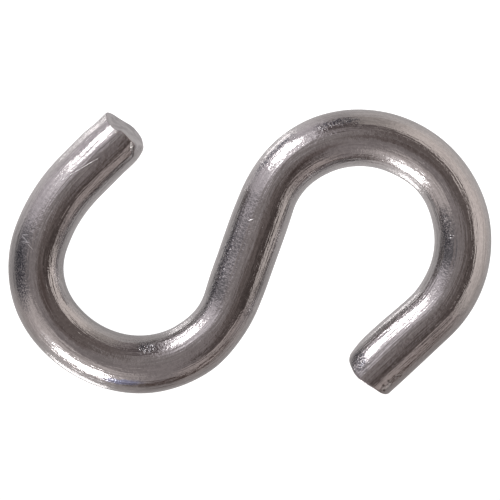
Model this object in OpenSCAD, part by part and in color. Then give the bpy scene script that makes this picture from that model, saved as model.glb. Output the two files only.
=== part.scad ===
// An S hook bent from one piece of round wire, with both tips left as they were sheared off.

/* [Wire] */

// Thickness of the round wire
wire_d = 5.8; // [2:0.1:8]

/* [Shank] */

// Straight wire between the two hooks
shank = 10.6; // [2:0.1:40]
// Angle the shank makes with the length of the hook, in degrees
shank_lie = 70.3; // [45:0.1:90]

/* [Right hook] */

// Radius of the first bend off the shank, to the middle of the wire
right_neck_r = 10; // [6:0.05:30]
// Turn of that bend, in degrees
right_neck_turn = 57.4; // [5:0.1:90]
// Radius of the round bow that carries the load
right_bow_r = 10.65; // [6:0.05:30]
// Turn of the bow, in degrees
right_bow_turn = 150.2; // [30:0.1:160]
// Straight wire from the bow to the tip
right_tail = 8.4; // [4:0.1:20]

/* [Left hook] */

// Radius of the first bend off the shank, to the middle of the wire
left_neck_r = 10.15; // [6:0.05:30]
// Turn of that bend, in degrees
left_neck_turn = 91.1; // [30:0.1:120]
// Radius of the flatter stretch after it
left_flat_r = 12.05; // [6:0.05:30]
// Turn of the flatter stretch, in degrees
left_flat_turn = 29.1; // [5:0.1:60]
// Radius of the tight bow at the far side
left_bow_r = 8.95; // [6:0.05:30]
// Turn of the bow, in degrees
left_bow_turn = 58.4; // [5:0.1:90]
// Radius of the slack bend that runs out of the bow
left_runout_r = 16.65; // [6:0.05:40]
// Turn of the slack bend, in degrees
left_runout_turn = 26.7; // [5:0.1:60]
// Straight wire from the slack bend to the tip
left_tail = 6.7; // [4:0.1:20]

/* [Sheared tips] */

// Tilt of both cuts away from square, in degrees
shear_tilt = 20; // [0:1:40]
// Radius the shear rolled the inner edge of the right tip over to
right_roll = 0.5; // [0.2:0.1:2.5]
// Radius the shear rolled the inner edge of the left tip over to
left_roll = 2.2; // [0.2:0.1:2.5]

/* [Hidden] */

$fn = 96;

wire_r = wire_d / 2;

// Each bend is a radius and a clockwise turn, in order from the shank to the tip.
right_bends = [[right_neck_r, snug(right_neck_turn)], [right_bow_r, snug(right_bow_turn)]];
left_bends = [
    [left_neck_r, snug(left_neck_turn)],
    [left_flat_r, snug(left_flat_turn)],
    [left_bow_r, snug(left_bow_turn)],
    [left_runout_r, snug(left_runout_turn)],
];

// A turn is nudged, by less than a tenth of a degree, to one whose sine and cosine still make a
// unit length at six digits. Neighbouring stretches then meet in one true circle.
function six(v) = v == 0 ? 0 : let (p = pow(10, 5 - floor(log(abs(v))))) round(v * p) / p;
function slip(turn) = abs(norm([six(cos(turn)), six(sin(turn))]) - 1);
function snug(turn, nudge = 0) =
    slip(turn + nudge) < 5e-9 ? turn + nudge : snug(turn, nudge > 0 ? -nudge : 0.001 - nudge);

// A pose is [x, y, heading] on the middle of the wire. This is the pose at the end of a bend.
function after(pose, bend) = let (r = bend[0], from = pose[2], to = pose[2] - bend[1])
    [pose[0] + r * (sin(from) - sin(to)), pose[1] - r * (cos(from) - cos(to)), to];

function poses(start, bends, i = 0) =
    i == len(bends) ? [start] : concat([start], poses(after(start, bends[i]), bends, i + 1));

function along(pose, side) = pose[0] * cos(side) + pose[1] * sin(side);

// How far one hook's bends and its sheared tip reach toward a side, given as an angle.
function bends_reach(start, bends, side) = let (p = poses(start, bends)) [
    for (i = [0 : len(bends) - 1]) let (r = bends[i][0], lead = p[i][2] + 90 - side)
        if (lead - 360 * floor(lead / 360) <= bends[i][1])
            along(p[i], side) - r * cos(lead) + r + wire_r
];
function tip_reach(start, bends, tail, side) =
    let (p = poses(start, bends)[len(bends)], off = side - p[2])
        along(p, side) + tail * cos(off)
            + wire_r * norm([sin(off), tan(shear_tilt) * max(0, cos(off))]);

// Both hooks start at an end of the shank, whose middle is the zero point here.
right_start = [shank / 2 * cos(shank_lie), shank / 2 * sin(shank_lie), shank_lie];
left_start = [-right_start[0], -right_start[1], shank_lie + 180];
function reach(side) = max(concat(
    bends_reach(right_start, right_bends, side),
    bends_reach(left_start, left_bends, side),
    [tip_reach(right_start, right_bends, right_tail, side)],
    [tip_reach(left_start, left_bends, left_tail, side)]
));
middle = [(reach(0) - reach(180)) / 2, (reach(90) - reach(270)) / 2];

// Wire lies along +X from the zero point, and bends turn clockwise, toward -Y.
module straight(length) rotate([0, 90, 0]) cylinder(h = length, d = wire_d);

module beyond(bend)
    translate([0, -bend[0], 0]) rotate([0, 0, -bend[1]]) translate([0, bend[0], 0]) children();

// The bend is turned a little too far, then trimmed square where the next stretch begins.
module bend(bend) difference() {
    translate([0, -bend[0], 0]) mirror([1, -1, 0]) rotate_extrude(angle = bend[1] + 5)
        translate([bend[0], 0]) circle(d = wire_d);
    beyond(bend) translate([0, -wire_d, -wire_d]) cube(2 * wire_d);
}

// A straight tail, cut by a tilted blade whose corner rounds over the edge on the inside.
module tail(length, tilt, roll) difference() {
    straight(length + wire_r);
    translate([length, 0, 0]) rotate([0, tilt, 0]) translate([0, 0, -wire_d])
        linear_extrude(2 * wire_d) difference() {
            translate([-roll, -wire_d]) square(2 * wire_d + roll);
            translate([-roll, 0.8 * roll - wire_r]) circle(roll);
            translate([-2 * roll, 0.8 * roll - wire_r]) square([2 * roll, 3 * wire_d]);
        }
}

module hook(bends, length, tilt, roll, i = 0) {
    if (i == len(bends)) tail(length, tilt, roll);
    else {
        bend(bends[i]);
        beyond(bends[i]) hook(bends, length, tilt, roll, i + 1);
    }
}

module s_hook() color("silver")
    translate([-middle[0], -middle[1], wire_r]) rotate([0, 0, shank_lie]) {
        translate([-shank / 2, 0, 0]) straight(shank);
        translate([shank / 2, 0, 0]) hook(right_bends, right_tail, shear_tilt, right_roll);
        rotate([0, 0, 180]) translate([shank / 2, 0, 0])
            hook(left_bends, left_tail, -shear_tilt, left_roll);
    }

s_hook();
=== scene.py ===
import math

import bmesh
import bpy
import numpy as np
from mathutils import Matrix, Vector


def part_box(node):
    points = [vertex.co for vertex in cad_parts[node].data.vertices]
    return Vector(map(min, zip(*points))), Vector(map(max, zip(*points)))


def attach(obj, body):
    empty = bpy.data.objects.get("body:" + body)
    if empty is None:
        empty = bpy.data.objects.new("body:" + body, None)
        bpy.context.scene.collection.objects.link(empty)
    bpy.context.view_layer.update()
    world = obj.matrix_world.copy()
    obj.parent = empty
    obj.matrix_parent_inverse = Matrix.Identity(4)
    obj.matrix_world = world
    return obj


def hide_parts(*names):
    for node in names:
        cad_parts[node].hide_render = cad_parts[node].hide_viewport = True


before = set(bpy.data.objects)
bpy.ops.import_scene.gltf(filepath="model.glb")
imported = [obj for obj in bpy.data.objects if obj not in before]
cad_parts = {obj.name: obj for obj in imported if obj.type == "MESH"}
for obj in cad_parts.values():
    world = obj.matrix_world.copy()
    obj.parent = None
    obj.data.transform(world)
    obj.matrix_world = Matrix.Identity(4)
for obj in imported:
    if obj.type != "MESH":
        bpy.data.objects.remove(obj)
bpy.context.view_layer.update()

# ---------------------------------------------------------------------------------------------
# Camera
# It stands straight above the hook on a long lens, so that the wire shows in plan.
VIEW_SPAN = 0.0515
VIEW_MIDDLE = (0.00005, 0.00016)
CAMERA_HEIGHT = 0.45

wire_low, wire_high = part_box("s_hook")
wire_radius = (wire_high.z - wire_low.z) / 2
camera_data = bpy.data.cameras.new("camera")
camera_data.sensor_width = 36.0
camera_data.lens = camera_data.sensor_width * CAMERA_HEIGHT / VIEW_SPAN
camera_data.clip_start = 0.01
camera_data.clip_end = 10.0
camera = bpy.data.objects.new("camera", camera_data)
camera.location = (*VIEW_MIDDLE, wire_radius + CAMERA_HEIGHT)
bpy.context.scene.collection.objects.link(camera)
bpy.context.scene.camera = camera

# ---------------------------------------------------------------------------------------------
# Bent wire
# One length of bright drawn steel wire, sheared off at both ends and pushed round formers by
# hand: each stretch has a bend of its own, and the next one leaves it without a corner.
SHANK = 0.0106
SHANK_LIE = math.radians(70.3)
RIGHT_BENDS = ((0.01, math.radians(57.4)), (0.01065, math.radians(150.2)))
RIGHT_TAIL = 0.0084
LEFT_BENDS = (
    (0.01015, math.radians(91.1)),
    (0.01205, math.radians(29.1)),
    (0.00895, math.radians(58.4)),
    (0.01665, math.radians(26.7)),
)
LEFT_TAIL = 0.0067
RING_SPACING = 0.00016
FACETS_ROUND = 120
RIM_ZONE = 0.0021
RIM_SPACING = 0.00006
# The rings that close a tip, as parts of the full radius, each one a hair farther out.
FACE_RINGS = (
    0.99, 0.98, 0.97, 0.95, 0.93, 0.9, 0.87, 0.83, 0.78, 0.72,
    0.65, 0.56, 0.46, 0.35, 0.23, 0.11, 0.0,
)
FACE_STEP = 0.000001


def walk(lie, bends, tail):
    """The wire's middle line from mid-shank to a tip: place, side, run and fill of each point."""
    stretches = [(SHANK / 2, 0.0, RING_SPACING)]
    stretches += [(radius * turn, turn, RING_SPACING) for radius, turn in bends]
    stretches += [(tail - RIM_ZONE, 0.0, RING_SPACING), (RIM_ZONE, 0.0, RIM_SPACING)]
    points, place, run = [], Vector((0, 0)), 0.0
    for length, turn, spacing in stretches:
        steps = round(length / spacing)
        half_turn = turn / steps / 2
        chord = length / steps * (math.sin(half_turn) / half_turn if turn else 1.0)
        for _ in range(steps):
            lie -= half_turn
            place = place + chord * Vector((math.cos(lie), math.sin(lie)))
            lie -= half_turn
            run += length / steps
            points.append((*place, -math.sin(lie), math.cos(lie), run, 1.0))
    for i, fill in enumerate(FACE_RINGS, 1):
        out = place + i * FACE_STEP * Vector((math.cos(lie), math.sin(lie)))
        points.append((*out, -math.sin(lie), math.cos(lie), run, fill))
    return points


right_run = walk(SHANK_LIE, RIGHT_BENDS, RIGHT_TAIL)
left_run = walk(SHANK_LIE + math.pi, LEFT_BENDS, LEFT_TAIL)
start = (0.0, 0.0, -math.sin(SHANK_LIE), math.cos(SHANK_LIE), 0.0, 1.0)
left_run = [(x, y, -p, -q, -run, fill) for x, y, p, q, run, fill in reversed(left_run)]
line = np.array(left_run + [start] + right_run)
line[:, :2] -= (line[:, :2].max(0) + line[:, :2].min(0)) / 2

# The formers pinched the wire where a bend begins or ends and left it plump between.
# along from mid-shank, how much fuller its left side is, and its right side, in mm
FULLNESS = (
    (-53.0, 0.08, -0.18),
    (-50.0, 0.1, -0.14),
    (-47.5, 0.05, 0.03),
    (-38.0, 0.01, 0.02),
    (-33.5, -0.04, -0.03),
    (-26.0, 0.01, 0.05),
    (-17.0, 0.08, 0.12),
    (-12.0, 0.01, 0.06),
    (-8.0, -0.09, -0.11),
    (-3.0, 0.09, 0.05),
    (2.5, 0.13, 0.05),
    (7.5, -0.04, -0.05),
    (14.0, 0.04, 0.09),
    (22.0, -0.03, 0.08),
    (27.0, -0.04, -0.08),
    (33.0, 0.03, 0.06),
    (39.5, 0.03, 0.11),
    (43.5, 0.03, 0.02),
    (48.5, 0.06, 0.16),
    (53.0, 0.04, 0.11),
)


def fullness(along):
    """How full the left and the right side are at places along the wire, eased between stations."""
    stations = np.array(FULLNESS) / 1000
    after = np.clip(np.searchsorted(stations[:, 0], along), 1, len(stations) - 1)
    before = after - 1
    part = (along - stations[before, 0]) / (stations[after, 0] - stations[before, 0])
    part = (part * part * (3 - 2 * part))[:, None]
    left, right = ((1 - part) * stations[before, 1:] + part * stations[after, 1:]).T
    return left, right


left_side, right_side = fullness(line[:, 4])
line[:, :2] += line[:, 2:4] * ((left_side - right_side) / 2)[:, None]
oval = (left_side + right_side) / 2 / wire_radius

path = bpy.data.meshes.new("wire_path")
links = [(i, i + 1) for i in range(len(line) - 1)]
path.from_pydata([(x, y, wire_radius) for x, y in line[:, :2]], links, [])
for name, kind, field, values in (
    ("along", "FLOAT", "value", line[:, 4]),
    ("fill", "FLOAT", "value", line[:, 5]),
    ("oval", "FLOAT", "value", oval),
    ("side", "FLOAT_VECTOR", "vector", np.pad(line[:, 2:4], ((0, 0), (0, 1))).ravel()),
):
    path.attributes.new(name, kind, "POINT").data.foreach_set(field, values)


def node(tree, kind, inputs=None, **settings):
    """A new node with its settings made and its inputs given a value or another node's output."""
    made = tree.nodes.new(kind)
    for name, value in settings.items():
        setattr(made, name, value)
    for name, value in (inputs or {}).items():
        if isinstance(value, bpy.types.NodeSocket):
            tree.links.new(value, made.inputs[name])
        else:
            made.inputs[name].default_value = value
    return made


# The relief's noise runs from 0 to 1. What is above this level stands proud, and the rest sinks.
RELIEF_LEVEL = 0.7


def drawing_tree():
    """The wire as drawn: a round section carried along the path, uneven from die and formers."""
    tree = bpy.data.node_groups.new("wire_drawing", "GeometryNodeTree")
    tree.is_modifier = True
    tree.interface.new_socket("Path", in_out="INPUT", socket_type="NodeSocketGeometry")
    for name, kind in (
        ("Wire Radius", "Float"),
        ("Facets Round", "Int"),
        ("Relief Depth", "Float"),
        ("Relief Grain", "Vector"),
        ("Seed", "Float"),
        ("Steel", "Material"),
    ):
        tree.interface.new_socket(name, in_out="INPUT", socket_type="NodeSocket" + kind)
    tree.interface.new_socket("Wire", in_out="OUTPUT", socket_type="NodeSocketGeometry")
    given = node(tree, "NodeGroupInput").outputs

    def stored(name, kind="FLOAT"):
        read = node(tree, "GeometryNodeInputNamedAttribute", {"Name": name}, data_type=kind)
        return read.outputs["Attribute"]

    def store(geometry, name, value):
        kept = node(
            tree,
            "GeometryNodeStoreNamedAttribute",
            {"Geometry": geometry, "Name": name, "Value": value},
            data_type="FLOAT_VECTOR",
            domain="POINT",
        )
        return kept.outputs["Geometry"]

    def maths(operation, *values):
        return node(tree, "ShaderNodeMath", dict(enumerate(values)), operation=operation).outputs[0]

    def scaled(vector, factor):
        inputs = {0: vector, "Scale": factor}
        return node(tree, "ShaderNodeVectorMath", inputs, operation="SCALE").outputs["Vector"]

    def move(geometry, offset):
        inputs = {"Geometry": geometry, "Offset": offset}
        return node(tree, "GeometryNodeSetPosition", inputs).outputs[0]

    wire_line = node(tree, "GeometryNodeMeshToCurve", {"Mesh": given["Path"]}).outputs["Curve"]
    circle = node(
        tree,
        "GeometryNodeCurvePrimitiveCircle",
        {"Resolution": given["Facets Round"], "Radius": given["Wire Radius"]},
        mode="RADIUS",
    )
    place = node(tree, "GeometryNodeInputPosition").outputs["Position"]
    section = store(circle.outputs["Curve"], "section", place)
    sweep = node(
        tree,
        "GeometryNodeCurveToMesh",
        {"Curve": wire_line, "Profile Curve": section, "Scale": stored("fill")},
    )
    on_section = scaled(stored("section", "FLOAT_VECTOR"), stored("fill"))
    lay = node(tree, "ShaderNodeSeparateXYZ", {0: on_section}).outputs
    across = maths("MULTIPLY", lay["X"], -1.0)
    up = maths("MULTIPLY", lay["Y"], -1.0)
    lie = node(tree, "ShaderNodeCombineXYZ", {"X": stored("along"), "Y": across, "Z": up})
    drawn = store(sweep.outputs["Mesh"], "drawn", lie.outputs[0])
    push = maths("MULTIPLY", across, stored("oval"))
    formed = move(drawn, scaled(stored("side", "FLOAT_VECTOR"), push))
    grain_inputs = {0: stored("drawn", "FLOAT_VECTOR"), 1: given["Relief Grain"]}
    lay_of_grain = node(tree, "ShaderNodeVectorMath", grain_inputs, operation="DIVIDE")
    noise = node(
        tree,
        "ShaderNodeTexNoise",
        {"Vector": lay_of_grain.outputs[0], "W": given["Seed"], "Scale": 1.0, "Detail": 1.0},
        noise_dimensions="4D",
    )
    level = maths("SUBTRACT", noise.outputs[0], RELIEF_LEVEL)
    rise = maths("MULTIPLY", level, given["Relief Depth"])
    normal = node(tree, "GeometryNodeInputNormal").outputs[0]
    uneven = move(formed, scaled(normal, maths("MULTIPLY", rise, 2.0)))
    smooth = node(tree, "GeometryNodeSetShadeSmooth", {"Geometry": uneven}).outputs[0]
    real = node(tree, "GeometryNodeRealizeInstances", {"Geometry": smooth}).outputs[0]
    dressed = node(tree, "GeometryNodeSetMaterial", {"Geometry": real, "Material": given["Steel"]})
    node(tree, "NodeGroupOutput", {"Wire": dressed.outputs[0]})
    return tree


steel = bpy.data.materials.new("bright_wire")
steel.use_nodes = True

tree = drawing_tree()
raw = bpy.data.objects.new("wire_raw", path)
bpy.context.scene.collection.objects.link(raw)
drawing = raw.modifiers.new("drawing", "NODES")
drawing.node_group = tree
drawing_inputs = {
    "Wire Radius": wire_radius,
    "Facets Round": FACETS_ROUND,
    "Relief Depth": 0.000022,
    "Relief Grain": (0.0045, 0.0014, 0.0014),
    "Seed": 3.0,
    "Steel": steel,
}
for socket in tree.interface.items_tree:
    if socket.name in drawing_inputs:
        drawing[socket.identifier] = drawing_inputs[socket.name]
graph = bpy.context.evaluated_depsgraph_get()
wire_mesh = bpy.data.meshes.new_from_object(raw.evaluated_get(graph))
bpy.data.objects.remove(raw)

# The tips: the shears crushed one edge of each and left the cut slanting, with a torn, dull face.
# The slant dies out over CUT_REACH back from the tip. What lies deeper under the skin than
# SKIN_DEPTH is part of the face.
CUT_REACH = 0.003
SKIN_DEPTH = 1e-7
MERGE_DISTANCE = 2e-7


def eased(low, high, value):
    """0 below low and 1 above high, with a smooth rise between them."""
    part = np.clip((value - low) / (high - low), 0, 1)
    return part * part * (3 - 2 * part)


def left_cut(inner, up):
    """How far out the left face stands, and how wide and how long its rim is rounded, in mm."""
    lip = eased(0.2, 0.8, up) * (0.25 * eased(-0.3, -0.1, inner) - 0.17)
    stand = 0.28 * eased(-0.6, 0.1, inner) - 0.12 * eased(0.0, 0.8, inner) - 0.6 * up + lip
    crushed = eased(0.4, 0.95, inner)
    return stand, 0.13 + 0.62 * crushed, 0.13 + 1.8 * crushed


def right_cut(inner, up):
    """How far out the right face stands, and how wide and how long its rim is rounded, in mm."""
    stand = 0.22 + 0.5 * eased(-0.65, 0.4, inner) + 0.72 * up
    crushed = eased(-0.1, 0.9, inner)
    clipped = eased(-0.7, -1.0, inner)
    return stand, 0.12 + 0.75 * crushed + 0.1 * clipped, 0.12 + 2.0 * crushed + 0.1 * clipped


# Marks are laid out as on the wire's skin unrolled, in mm, and turned in degrees:
# along the wire, round it from the top toward its left side, half length, half width, turn
CREASES = (
    (51.2, 2.35, 0.43, 0.1, 62),
    (50.58, 2.4, 0.4, 0.08, 85),
    (49.8, 2.4, 0.48, 0.06, -38),
    (-50.4, 2.3, 0.6, 0.1, 35),
)
CREASE_DEPTH = 0.00006


def pressed(along, round_it, marks):
    """Where any of the marks lies on the wire: 1 inside it and 0 outside."""
    total = np.zeros(len(along))
    for mark_along, mark_round, half_length, half_width, lie_of_it in marks:
        lie = math.radians(lie_of_it)
        x, y = along * 1000 - mark_along, round_it * 1000 - mark_round
        x, y = x * math.cos(lie) + y * math.sin(lie), y * math.cos(lie) - x * math.sin(lie)
        total = np.maximum(total, eased(1.5, 0.5, np.hypot(x / half_length, y / half_width)))
    return total


points = np.empty(len(wire_mesh.vertices) * 3)
wire_mesh.vertices.foreach_get("co", points)
points = points.reshape(-1, 3)
drawn = np.empty(len(points) * 3)
wire_mesh.attributes["drawn"].data.foreach_get("vector", drawn)
drawn = drawn.reshape(-1, 3)
face = np.zeros(len(points))
for cut, end, inner_sign in ((left_cut, line[0], 1), (right_cut, line[-1], -1)):
    side = Vector((end[2], end[3], 0))
    axis = -inner_sign * side.cross(Vector((0, 0, 1)))
    depth = (end[4] - drawn[:, 0]) * np.sign(end[4])
    near = depth < CUT_REACH
    across, up = drawn[near, 1], drawn[near, 2]
    span = np.hypot(across, up)
    ray = np.stack((across, up), 1) / np.maximum(span, 1e-9)[:, None]
    stand, _, _ = cut(inner_sign * across / wire_radius, up / wire_radius)
    _, rim_wide, rim_long = cut(inner_sign * ray[:, 0], ray[:, 1])
    rim_wide, rim_long = rim_wide / 1000, rim_long / 1000
    back = np.clip(depth[near], 0, None)
    inward = wire_radius - span
    on_face = inward > SKIN_DEPTH
    on_rim = np.where(on_face, inward / rim_wide, back / rim_long)
    part = np.clip(on_rim, 0, 1)
    lean = np.radians(np.where(on_face, 45 + 45 * part, 45 * (1 - part)))
    new_span = np.where(on_rim < 1, wire_radius - rim_wide * (1 - np.cos(lean)), span)
    new_out = np.where(on_rim < 1, rim_long * (np.sin(lean) - 1), -back)
    shift_out = new_out + back + stand / 1000 * (1 - back / CUT_REACH) ** 2
    shift_wide = new_span - span
    points[near] += shift_out[:, None] * np.array(axis)[None]
    points[near] += (shift_wide * ray[:, 0])[:, None] * np.array(side)[None]
    points[near, 2] += shift_wide * ray[:, 1]
    face[near] = eased(0.25, 1.0, lean / (math.pi / 2)) * on_face

way_out = np.empty(len(points) * 3)
wire_mesh.vertices.foreach_get("normal", way_out)
creased = pressed(drawn[:, 0], np.arctan2(drawn[:, 1], drawn[:, 2]) * wire_radius, CREASES)
points -= way_out.reshape(-1, 3) * (creased * CREASE_DEPTH)[:, None]
wire_mesh.vertices.foreach_set("co", points.ravel())
wire_mesh.attributes.new("face", "FLOAT", "POINT").data.foreach_set("value", face)
shell = bmesh.new()
shell.from_mesh(wire_mesh)
bmesh.ops.remove_doubles(shell, verts=shell.verts, dist=MERGE_DISTANCE)
shell.to_mesh(wire_mesh)
shell.free()

# The steel: grey and lustrous, finely pebbled, with draw lines along it. Its marks are laid out
# like the creases.
LUSTRE = (0.413, 0.392, 0.391)
BUMP_DEPTH = 0.000019
SCRATCHES = (
    (-44.6, -0.6, 3.0, 0.02, -15),
    (-36.8, -1.7, 0.35, 0.06, -75),
    (-36.5, -1.6, 0.5, 0.07, 65),
    (-36.2, -1.4, 0.4, 0.055, -85),
    (-35.85, -0.7, 0.4, 0.04, 60),
    (3.05, 0.85, 0.3, 0.035, -55),
    (2.65, -0.45, 0.07, 0.07, 0),
    (31.7, -1.7, 0.35, 0.05, 20),
    (32.1, -1.9, 0.2, 0.05, -40),
    (34.1, -1.6, 0.45, 0.03, 85),
    (33.8, -1.3, 0.35, 0.03, 70),
    (-37.9, 0.15, 0.1, 0.06, 0),
    (25.0, -0.4, 0.12, 0.05, 10),
)
# Burrs are rough torn lips. In the colour they are also painted near white: a painted highlight for
# the glint they catch.
BURRS = (
    (50.95, 2.5, 0.2, 0.4, 70),
    (-50.62, 1.6, 0.5, 0.12, 44),
    (-50.75, -0.78, 0.16, 0.22, 0),
)
# Rough spots are pitted patches, rougher and bumpier. In the colour their speckles are also painted
# near black: painted shade for the dark they mirror.
ROUGH_SPOTS = (
    (-33.3, -1.7, 3.0, 0.7, 0),
    (-16.8, 1.9, 1.2, 0.6, 0),
    (-2.3, 2.35, 6.0, 0.46, 0),
    (9.5, 2.5, 2.5, 0.35, 0),
    (15.8, 1.9, 1.9, 0.4, 0),
    (33.4, -1.8, 2.8, 0.55, 0),
    (51.1, -1.9, 0.8, 1.2, 0),
)
# Dark brown streaks along the top of the wire.
DARK_STREAKS = (
    (-25.8, 0.15, 2.9, 0.22, 1),
    (-31.0, 0.5, 2.5, 0.3, -3),
    (12.0, -0.6, 3.5, 0.25, 2),
    (22.5, 0.1, 6.0, 0.2, 0),
)
# A patch tinted blue on the wire's right side.
BLUE_PATCH = (-19.1, -2.0, 1.5, 0.32, 4)


def dress_steel(tree):
    """Bright drawn wire, seen along and round it, with its torn ends duller and paler."""
    surface = tree.nodes["Principled BSDF"]
    surface.inputs["Metallic"].default_value = 1.0

    def maths(operation, *values):
        return node(tree, "ShaderNodeMath", dict(enumerate(values)), operation=operation).outputs[0]

    def vectors(operation, *values, output=0):
        made = node(tree, "ShaderNodeVectorMath", dict(enumerate(values)), operation=operation)
        return made.outputs[output]

    def blend(amount, first, second):
        mixed = node(tree, "ShaderNodeMix", {0: amount, 6: first, 7: second}, data_type="RGBA")
        return mixed.outputs[2]

    def ranged(value, low, high, new_low=0.0, new_high=1.0):
        inputs = {"Value": value, "From Min": low, "From Max": high}
        inputs |= {"To Min": new_low, "To Max": new_high}
        return node(tree, "ShaderNodeMapRange", inputs, interpolation_type="SMOOTHSTEP").outputs[0]

    def grain(vector, scale, detail=2.0, output=0):
        inputs = {"Vector": vector, "Scale": scale, "Detail": detail}
        return node(tree, "ShaderNodeTexNoise", inputs).outputs[output]

    drawn = node(tree, "ShaderNodeAttribute", attribute_name="drawn").outputs["Vector"]
    face = node(tree, "ShaderNodeAttribute", attribute_name="face").outputs["Fac"]
    lie = vectors("MULTIPLY", drawn, (1000, 1000, 1000))
    part = node(tree, "ShaderNodeSeparateXYZ", {0: lie}).outputs
    turn = maths("MULTIPLY", maths("ARCTAN2", part["Y"], part["Z"]), wire_radius * 1000)
    unrolled = node(tree, "ShaderNodeCombineXYZ", {"X": part["X"], "Y": turn}).outputs[0]
    wander = vectors("SUBTRACT", grain(unrolled, 3.0, 3.0, 1), (0.5, 0.5, 0.5))

    def marked(marks, ragged, soft):
        """Where any of the marks lies: 1 inside it and 0 outside."""
        lay = vectors("MULTIPLY_ADD", wander, (ragged, ragged, 0), unrolled)
        total = None
        for along, round_it, half_length, half_width, lie_of_it in marks:
            inputs = {
                "Vector": lay,
                "Location": (along, round_it, 0),
                "Rotation": (0, 0, math.radians(lie_of_it)),
                "Scale": (half_length, half_width, 1),
            }
            placed = node(tree, "ShaderNodeMapping", inputs, vector_type="TEXTURE").outputs[0]
            away = vectors("LENGTH", placed, output="Value")
            inside = ranged(away, 1.0 - soft, 1.0 + soft, 1.0, 0.0)
            total = inside if total is None else maths("MAXIMUM", total, inside)
        return total

    scratched = marked(SCRATCHES, 0.08, 0.4)
    creased = marked(CREASES, 0.1, 0.4)
    burrs_and_glints = marked(BURRS, 0.4, 0.4)
    roughened = marked(ROUGH_SPOTS, 1.2, 0.45)
    streaked_dark = marked(DARK_STREAKS, 0.5, 0.5)
    tinted_blue = marked((BLUE_PATCH,), 0.5, 0.5)

    # Layers of grain, each so many to the millimetre. Drawing stretched all but the speckle.
    pebble = grain(vectors("MULTIPLY", lie, (0.75, 1, 1)), 4.0, 1.0)
    speckle = grain(lie, 7.0, 1.0)
    lines = grain(vectors("MULTIPLY", lie, (0.04, 1, 1)), 7.0, 2.0)
    ridges = grain(vectors("MULTIPLY", lie, (0.09, 1, 1)), 2.2, 1.0)
    cloud = grain(vectors("MULTIPLY", lie, (0.35, 1, 1)), 0.8, 3.0)

    dull = tuple(0.87 * c for c in LUSTRE)
    bright = tuple(1.1 * c for c in LUSTRE)
    mottle = maths("MULTIPLY_ADD", pebble, 0.7, maths("MULTIPLY", lines, 0.7))
    mottle = maths("MULTIPLY_ADD", cloud, 0.6, mottle)
    colour = blend(ranged(mottle, 0.75, 1.25), (*dull, 1), (*bright, 1))
    # Painted shade: the pitted spots' speckles are painted near black for the dark they mirror.
    # Their roughness and bump are real pits.
    pits_and_painted_shade = maths("MULTIPLY", roughened, ranged(speckle, 0.4, 0.54))
    for covered, strength, tone in (
        (pits_and_painted_shade, 0.9, (0.1, 0.1, 0.115)),
        (streaked_dark, 0.65, (0.2, 0.165, 0.155)),
        (tinted_blue, 0.45, (0.14, 0.2, 0.45)),
        # painted shade: the creases are darkened in the colour, on top of the dents pressed into
        # the wire
        (creased, 0.55, (0.1, 0.09, 0.09)),
        # painted highlight: the burrs are painted near white for the glint they catch; their rough
        # bump is real
        (burrs_and_glints, 0.7, (0.85, 0.83, 0.82)),
        (scratched, 0.4, (0.8, 0.8, 0.8)),
    ):
        colour = blend(maths("MULTIPLY", covered, strength), colour, (*tone, 1))
    torn_patches = ranged(grain(lie, 1.3, 4.0), 0.38, 0.62)
    torn = blend(torn_patches, (0.38, 0.362, 0.368, 1), (0.54, 0.519, 0.527, 1))
    colour = blend(face, colour, torn)
    rough = ranged(pebble, 0.3, 0.75, 0.085, 0.175)
    rough = maths("ADD", rough, maths("MULTIPLY", roughened, 0.06))
    rough = maths("ADD", rough, maths("MULTIPLY", face, 0.25))

    coarse = maths("MULTIPLY_ADD", roughened, 1.75, 0.45)
    height = maths("MULTIPLY_ADD", speckle, coarse, maths("MULTIPLY", pebble, 0.85))
    for layer, share in (
        (lines, 1.35),
        (ridges, 3.0),
        (scratched, -0.4),
        (maths("MULTIPLY", burrs_and_glints, speckle), 6.0),
        (maths("MULTIPLY", face, grain(lie, 1.8, 4.0)), 4.0),
    ):
        height = maths("MULTIPLY_ADD", layer, share, height)
    bump_inputs = {"Strength": 1.0, "Distance": BUMP_DEPTH, "Height": height}
    bump = node(tree, "ShaderNodeBump", bump_inputs)
    tree.links.new(colour, surface.inputs["Base Color"])
    tree.links.new(rough, surface.inputs["Roughness"])
    tree.links.new(bump.outputs[0], surface.inputs["Normal"])


dress_steel(steel.node_tree)
wire = bpy.data.objects.new("bent_wire", wire_mesh)
bpy.context.scene.collection.objects.link(wire)
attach(wire, "root")
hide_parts("s_hook")

# ---------------------------------------------------------------------------------------------
# Studio
# A white laminate table top with a painted pool of light glowing in it, in a dim room. Two soft
# lamps on the left light the hook, a third the table alone, and a tall card, glowing with light of
# its own, stands close by on the right.


def unit(azimuth, elevation):
    """The direction at that azimuth, from +X toward +Y, and elevation, in degrees."""
    a, e = math.radians(azimuth), math.radians(elevation)
    return Vector((math.cos(a) * math.cos(e), math.sin(a) * math.cos(e), math.sin(e)))


# name, azimuth, elevation, distance, width, height, radiance
LAMPS = (
    ("upper_left_lamp", 128, 31, 0.255, 0.074, 0.06, 12),
    ("lower_left_lamp", 238, 17, 0.235, 0.1, 0.058, 13),
    ("table_lamp", 237, 42, 0.235, 0.078, 0.095, 16),
)
lamps = {}
for name, azimuth, elevation, distance, width, height, radiance in LAMPS:
    lamp_data = bpy.data.lights.new(name, "AREA")
    lamp_data.shape = "ELLIPSE"
    lamp_data.size = width
    lamp_data.size_y = height
    lamp_area = math.pi * width * height / 4
    lamp_data.energy = radiance * math.pi * lamp_area
    lamp = bpy.data.objects.new(name, lamp_data)
    lamp.location = distance * unit(azimuth, elevation)
    lamp.rotation_euler = unit(azimuth, elevation).to_track_quat("Z", "Y").to_euler()
    lamp.visible_camera = False
    bpy.context.scene.collection.objects.link(lamp)
    lamps[name] = lamp

ROOM = (0.4, 0.36, 0.36)
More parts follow.
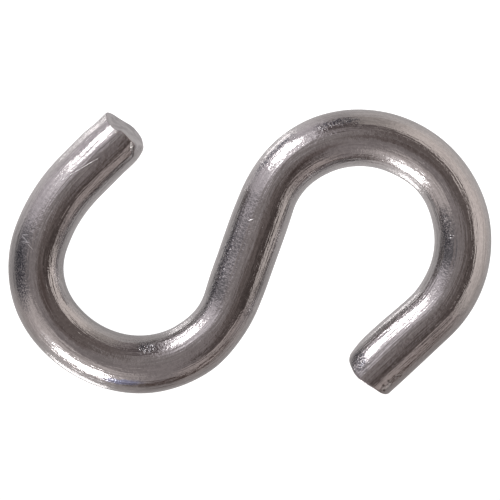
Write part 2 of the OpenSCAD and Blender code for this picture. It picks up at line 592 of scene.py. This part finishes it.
# name, azimuth, elevation, half width, half height, all in degrees, softness of its edge, colour
PATCHES = (
    ("pale ceiling", 125, 80, 60, 16, 0.8, (0.44, 0.405, 0.4)),
    ("dark corner", 15, 55, 66, 32, 0.4, (0.228, 0.192, 0.182)),
    ("dark shelf", 318, 46, 24, 12, 0.4, (0.15, 0.122, 0.116)),
    ("shelf end", 352, 34, 23, 22, 0.3, (0.115, 0.094, 0.088)),
    ("dark left", 178, 15, 24, 43, 0.5, (0.215, 0.21, 0.225)),
    ("brown chair", 289, -3, 34, 13, 0.3, (0.125, 0.086, 0.074)),
    ("pale door", 311, 20, 24, 11, 0.35, (0.68, 0.6, 0.575)),
    ("lower glow", 229, 30, 38, 30, 0.9, (0.88, 0.81, 0.79)),
    ("upper glow", 132, 28, 27, 40, 0.9, (0.97, 0.92, 0.97)),
    ("upper bright glow", 129, 41, 15, 18, 0.9, (1.4, 1.35, 1.4)),
    ("lower bright glow", 237, 21, 17, 15, 0.9, (1.4, 1.35, 1.35)),
    ("dark top", 94, 33, 14, 18, 0.5, (0.185, 0.157, 0.157)),
)
# The higher this is, the squarer are the patches' corners.
CORNER_POWER = 3.0
world = bpy.data.worlds.new("room")
bpy.context.scene.world = world
world.use_nodes = True
room = world.node_tree


def in_room(operation, *values):
    """A sum on the room's numbers."""
    return node(room, "ShaderNodeMath", dict(enumerate(values)), operation=operation).outputs[0]


outward = node(room, "ShaderNodeTexCoord").outputs["Generated"]
way = node(room, "ShaderNodeSeparateXYZ", {0: outward}).outputs
round_room = in_room("DEGREES", in_room("ARCTAN2", way["Y"], way["X"]))
up_room = in_room("DEGREES", in_room("ARCSINE", way["Z"]))
seen = (*ROOM, 1)
for name, azimuth, elevation, half_width, half_height, soft, colour in PATCHES:
    aside = in_room("WRAP", in_room("SUBTRACT", round_room, azimuth), -180.0, 180.0)
    wide = in_room("ABSOLUTE", in_room("DIVIDE", aside, half_width))
    above = in_room("SUBTRACT", up_room, elevation)
    high = in_room("ABSOLUTE", in_room("DIVIDE", above, half_height))
    wide, high = (in_room("POWER", reach, CORNER_POWER) for reach in (wide, high))
    off = in_room("ADD", wide, high)
    edge = {"Value": off, "From Min": 1.0 + soft, "From Max": 1.0 - soft}
    ramp = node(room, "ShaderNodeMapRange", edge, interpolation_type="SMOOTHSTEP").outputs["Result"]
    mixed = node(room, "ShaderNodeMix", {0: ramp, 6: seen, 7: (*colour, 1)}, data_type="RGBA")
    seen = mixed.outputs[2]
room.links.new(seen, room.nodes["Background"].inputs["Color"])

# The card curves round the right-hand side. It is dark and glows with light of its own: painted
# light standing in for the light a white card would throw back.
# azimuth, distance, height, radiance
CARD_STATIONS = (
    (-28, 0.062, 0.032, 0.55),
    (-22, 0.062, 0.034, 0.8),
    (-8, 0.062, 0.037, 0.97),
    (4, 0.074, 0.054, 1.12),
    (14, 0.088, 0.068, 1.03),
    (48, 0.088, 0.067, 1.0),
    (58, 0.08, 0.056, 0.92),
    (68, 0.078, 0.054, 0.54),
    (84, 0.078, 0.05, 0.45),
)
CARD_STEP = 2
station_turns, *columns = np.array(CARD_STATIONS).T
turns = np.arange(station_turns[0], station_turns[-1] + CARD_STEP, CARD_STEP)
distances, heights, radiances = (np.interp(turns, station_turns, column) for column in columns)
foot = np.stack((distances * np.cos(np.radians(turns)), distances * np.sin(np.radians(turns))), 1)
edge_points = [(x, y, 0) for x, y in foot] + [(x, y, z) for (x, y), z in zip(foot, heights)]
count = len(turns)
faces = [(i + 1, i, i + count, i + count + 1) for i in range(count - 1)]
card_mesh = bpy.data.meshes.new("glowing_card")
card_mesh.from_pydata(edge_points, [], faces)
glowing = card_mesh.attributes.new("radiance", "FLOAT", "POINT")
glowing.data.foreach_set("value", np.tile(radiances, 2))
card = bpy.data.objects.new("glowing_card", card_mesh)
card.visible_camera = False
card.visible_shadow = False
bpy.context.scene.collection.objects.link(card)
card_glow = bpy.data.materials.new("glowing_card")
card_glow.use_nodes = True
card_mesh.materials.append(card_glow)
surface = card_glow.node_tree.nodes["Principled BSDF"]
surface.inputs["Base Color"].default_value = (0.1, 0.1, 0.1, 1)
surface.inputs["Roughness"].default_value = 0.9
surface.inputs["Emission Color"].default_value = (1, 0.917, 0.865, 1)
shine = node(card_glow.node_tree, "ShaderNodeAttribute", attribute_name="radiance").outputs["Fac"]
card_glow.node_tree.links.new(shine, surface.inputs["Emission Strength"])

FLOOR_SIDE = 6.0
# The painted pool of light: glow in the table top round its middle, full within half its reach,
# down to the unlit glow beyond.
LIT_MIDDLE = (0.0, 0.035, 0)
LIT_REACH = 0.068
LIT_GLOW = 0.56
UNLIT_GLOW = 0.06
SEEN_GLOW = 0.86
floor_mesh = bpy.data.meshes.new("table_top")
half = FLOOR_SIDE / 2
corners = [(-half, -half, 0), (half, -half, 0), (half, half, 0), (-half, half, 0)]
floor_mesh.from_pydata(corners, [], [(0, 1, 2, 3)])
floor = bpy.data.objects.new("table_top", floor_mesh)
bpy.context.scene.collection.objects.link(floor)
laminate = bpy.data.materials.new("table_top")
laminate.use_nodes = True
floor_mesh.materials.append(laminate)
table = laminate.node_tree
surface = table.nodes["Principled BSDF"]
surface.inputs["Base Color"].default_value = (0.262, 0.245, 0.232, 1)
surface.inputs["Roughness"].default_value = 0.3
surface.inputs["Coat Weight"].default_value = 1.0
surface.inputs["Coat Roughness"].default_value = 0.07
surface.inputs["Coat IOR"].default_value = 2.3
surface.inputs["Emission Color"].default_value = (0.985, 0.99, 1, 1)


def on_table(operation, *values):
    """A sum on the table top's numbers."""
    return node(table, "ShaderNodeMath", dict(enumerate(values)), operation=operation).outputs[0]


# The camera sees the table white, and the wire mirrors it as lit as its pool of light makes it. The
# pool is painted light: a glow in the table's own surface, not light from a lamp.
rays = node(table, "ShaderNodeLightPath").outputs
either = on_table("MAXIMUM", rays["Is Camera Ray"], rays["Is Glossy Ray"])
any_ray = on_table("MAXIMUM", either, rays["Is Transmission Ray"])
place = node(table, "ShaderNodeTexCoord").outputs["Object"]
from_pool = node(table, "ShaderNodeVectorMath", {0: place, 1: LIT_MIDDLE}, operation="DISTANCE")
pool_inputs = {
    "Value": from_pool.outputs["Value"],
    "From Min": LIT_REACH,
    "From Max": LIT_REACH / 2,
    "To Min": UNLIT_GLOW,
    "To Max": LIT_GLOW,
}
pool = node(table, "ShaderNodeMapRange", pool_inputs, interpolation_type="SMOOTHSTEP")
mirrored = on_table("MULTIPLY", any_ray, pool.outputs["Result"])
glow = on_table("MULTIPLY_ADD", rays["Is Camera Ray"], SEEN_GLOW, mirrored)
table.links.new(glow, surface.inputs["Emission Strength"])

# The third lamp lights nothing but the table, and the lower left lamp everything but the table.
only_table = bpy.data.collections.new("only_table")
only_table.objects.link(floor)
lamps["table_lamp"].light_linking.receiver_collection = only_table
not_table = bpy.data.collections.new("not_table")
not_table.objects.link(floor)
not_table.collection_objects[0].light_linking.link_state = "EXCLUDE"
lamps["lower_left_lamp"].light_linking.receiver_collection = not_table

bpy.context.scene.view_settings.view_transform = "Standard"
